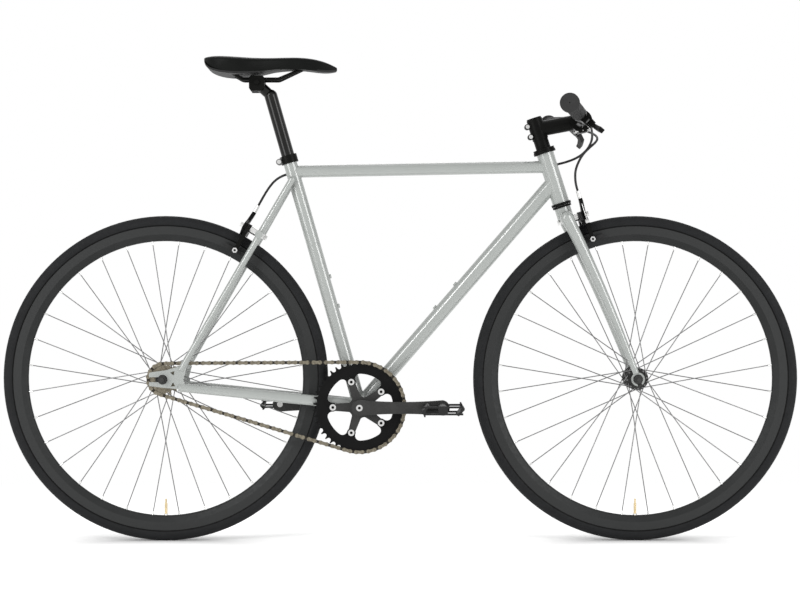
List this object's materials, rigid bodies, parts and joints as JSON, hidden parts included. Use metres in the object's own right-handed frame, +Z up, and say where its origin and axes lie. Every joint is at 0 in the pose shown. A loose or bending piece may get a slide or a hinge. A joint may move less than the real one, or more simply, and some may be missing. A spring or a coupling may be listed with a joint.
{
  "type": "fixed gear bicycle",
  "caption": "Single-speed road bicycle: diamond frame, rigid fork, flat bar, side-pull rim brakes, fixed sprocket and padded saddle.",
  "frame": {"origin": "on the ground, midway between the two wheels' contact points", "axes": "+X forward, +Y to the rider's left, +Z up; the chain is on the right, at negative Y"},
  "size_m": [1.654, 0.5746, 1.0065],
  "materials": {
    "frame_paint": "gloss grey paint",
    "headset_black": "black anodised",
    "steel": "bare steel",
    "bolts": "zinc plated",
    "axles": "zinc plated",
    "black_alloy": "black anodised",
    "lever_black": "black satin",
    "brake_alloy": "black satin",
    "grip_rubber": "matt",
    "tyre_rubber": "matt with fine tread",
    "rim_alloy": "dark satin",
    "hub_alloy": "dark satin",
    "spokes": "drawn steel",
    "nipples": "plated",
    "inner_tubes": "thin black rubber with a plated brass valve",
    "crank_alloy": "dark satin",
    "chainring_alloy": "dark satin",
    "chain_steel": "oiled bronze-grey",
    "pedal_plastic": "matt black",
    "saddle_cover": "smooth black cover",
    "saddle_base": "matt black",
    "rails": "black steel",
    "cable": "black sleeve"
  },
  "bodies": {
    "frame": {"head_tube": "frame_paint", "top_tube": "frame_paint", "down_tube": "frame_paint", "seat_tube": "frame_paint", "bottom_bracket_shell": "frame_paint", "chainstays": "frame_paint", "seatstays": "frame_paint", "rear_dropouts": "frame_paint", "frame_braze_ons": "frame_paint", "headset_cups": "headset_black", "bottom_bracket_cups": "steel", "seat_clamp": "black_alloy", "frame_bolts": "bolts", "rear_axle_set": "axles", "rear_brake_cable": "cable", "chain": "chain_steel"},
    "fork": {"steerer_tube": "steel", "fork_crown": "frame_paint", "fork_legs": "frame_paint", "headset_races": "headset_black", "headset_spacers": "headset_black", "stem": "black_alloy", "fork_bolts": "bolts", "handlebar": "black_alloy", "grips": "grip_rubber", "lever_brackets": "lever_black", "front_axle_set": "axles", "front_brake_cable": "cable", "rear_brake_cable_loop": "cable"},
    "front_wheel": {"front_tyre": "tyre_rubber", "front_rim": "rim_alloy", "front_spokes": "spokes", "front_nipples": "nipples", "front_hub": "hub_alloy", "front_inner_tube": "inner_tubes"},
    "rear_wheel": {"rear_tyre": "tyre_rubber", "rear_rim": "rim_alloy", "rear_spokes": "spokes", "rear_nipples": "nipples", "rear_hub": "hub_alloy", "rear_sprocket": "chain_steel", "rear_inner_tube": "inner_tubes"},
    "crankset": {"crank_axles": "steel", "right_crank": "crank_alloy", "left_crank": "crank_alloy", "chainring": "chainring_alloy", "crank_bolts": "bolts"},
    "right_pedal": {"right_pedal": "pedal_plastic"},
    "left_pedal": {"left_pedal": "pedal_plastic"},
    "right_brake_lever": {"right_brake_lever": "lever_black"},
    "left_brake_lever": {"left_brake_lever": "lever_black"},
    "front_brake_outer_arm": {"front_brake_outer_arm": "brake_alloy"},
    "front_brake_inner_arm": {"front_brake_inner_arm": "brake_alloy"},
    "rear_brake_outer_arm": {"rear_brake_outer_arm": "brake_alloy"},
    "rear_brake_inner_arm": {"rear_brake_inner_arm": "brake_alloy"},
    "seatpost": {"seatpost": "black_alloy"},
    "saddle": {"saddle_clamp": "black_alloy", "saddle_shell": "saddle_base", "saddle_pad": "saddle_cover", "saddle_rails": "rails"}
  },
  "joints": [
    {"name": "steering", "type": "hinge", "parent": "frame", "child": "fork", "pos_m": [0.45472, 0, 0.32699], "axis": [-0.3057, 0, 0.9521], "range_deg": [-60, 60], "deforming": ["rear_brake_cable_loop", "rear_brake_cable"]},
    {"name": "front_wheel_spin", "type": "hinge", "parent": "fork", "child": "front_wheel", "pos_m": [0.489, 0, 0.338], "axis": [0, 1, 0], "continuous": true},
    {"name": "rear_wheel_spin", "type": "hinge", "parent": "frame", "child": "rear_wheel", "pos_m": [-0.489, 0, 0.338], "axis": [0, 1, 0], "continuous": true, "deforming": ["chain"]},
    {"name": "crank_spin", "type": "hinge", "parent": "frame", "child": "crankset", "pos_m": [-0.0849, 0, 0.28], "axis": [0, 1, 0], "continuous": true, "deforming": ["chain"]},
    {"name": "right_pedal_spin", "type": "hinge", "parent": "crankset", "child": "right_pedal", "pos_m": [0.0851, 0, 0.28], "axis": [0, 1, 0], "continuous": true},
    {"name": "left_pedal_spin", "type": "hinge", "parent": "crankset", "child": "left_pedal", "pos_m": [-0.2549, 0, 0.28], "axis": [0, 1, 0], "continuous": true},
    {"name": "right_lever_pull", "type": "hinge", "parent": "fork", "child": "right_brake_lever", "pos_m": [0.38205, -0.14684, 0.85823], "axis": [-0.6406, 0.0827, -0.7634], "range_deg": [0, 18], "stiffness_Nm_per_rad": 1.2, "springref_deg": -11.46, "deforming": ["rear_brake_cable", "rear_brake_cable_loop"]},
    {"name": "left_lever_pull", "type": "hinge", "parent": "fork", "child": "left_brake_lever", "pos_m": [0.38205, 0.14684, 0.85823], "axis": [0.6406, 0.0827, 0.7634], "range_deg": [0, 18], "stiffness_Nm_per_rad": 1.2, "springref_deg": -11.46, "deforming": ["front_brake_cable"]},
    {"name": "front_brake_outer_close", "type": "hinge", "parent": "fork", "child": "front_brake_outer_arm", "pos_m": [0.34567, 0, 0.66667], "axis": [0.9521, 0, 0.3057], "range_deg": [0, 1.5], "deforming": ["front_brake_cable"]},
    {"name": "front_brake_inner_close", "type": "hinge", "parent": "fork", "child": "front_brake_inner_arm", "pos_m": [0.34567, 0, 0.66667], "axis": [0.9521, 0, 0.3057], "range_deg": [-1.5, 0], "deforming": ["front_brake_cable"]},
    {"name": "rear_brake_outer_close", "type": "hinge", "parent": "frame", "child": "rear_brake_outer_arm", "pos_m": [-0.29146, 0, 0.63592], "axis": [-0.8667, 0, 0.4989], "range_deg": [0, 1.5], "deforming": ["rear_brake_cable"]},
    {"name": "rear_brake_inner_close", "type": "hinge", "parent": "frame", "child": "rear_brake_inner_arm", "pos_m": [-0.29146, 0, 0.63592], "axis": [-0.8667, 0, 0.4989], "range_deg": [-1.5, 0], "deforming": ["rear_brake_cable"]},
    {"name": "seatpost_slide", "type": "slide", "parent": "frame", "child": "seatpost", "axis": [-0.2756, 0, 0.9613], "range_m": [-0.1, 0.06]},
    {"name": "saddle_tilt", "type": "hinge", "parent": "seatpost", "child": "saddle", "pos_m": [-0.29813, 0, 0.95197], "axis": [0, 1, 0], "range_deg": [-10, 10]}
  ],
  "couplings": [
    {"joint": "crank_spin", "follows": "rear_wheel_spin", "ratio": 0.34783},
    {"joint": "front_brake_outer_close", "follows": "left_lever_pull", "ratio": 0.083333},
    {"joint": "front_brake_inner_close", "follows": "left_lever_pull", "ratio": -0.083333},
    {"joint": "rear_brake_outer_close", "follows": "right_lever_pull", "ratio": 0.083333},
    {"joint": "rear_brake_inner_close", "follows": "right_lever_pull", "ratio": -0.083333}
  ]
}
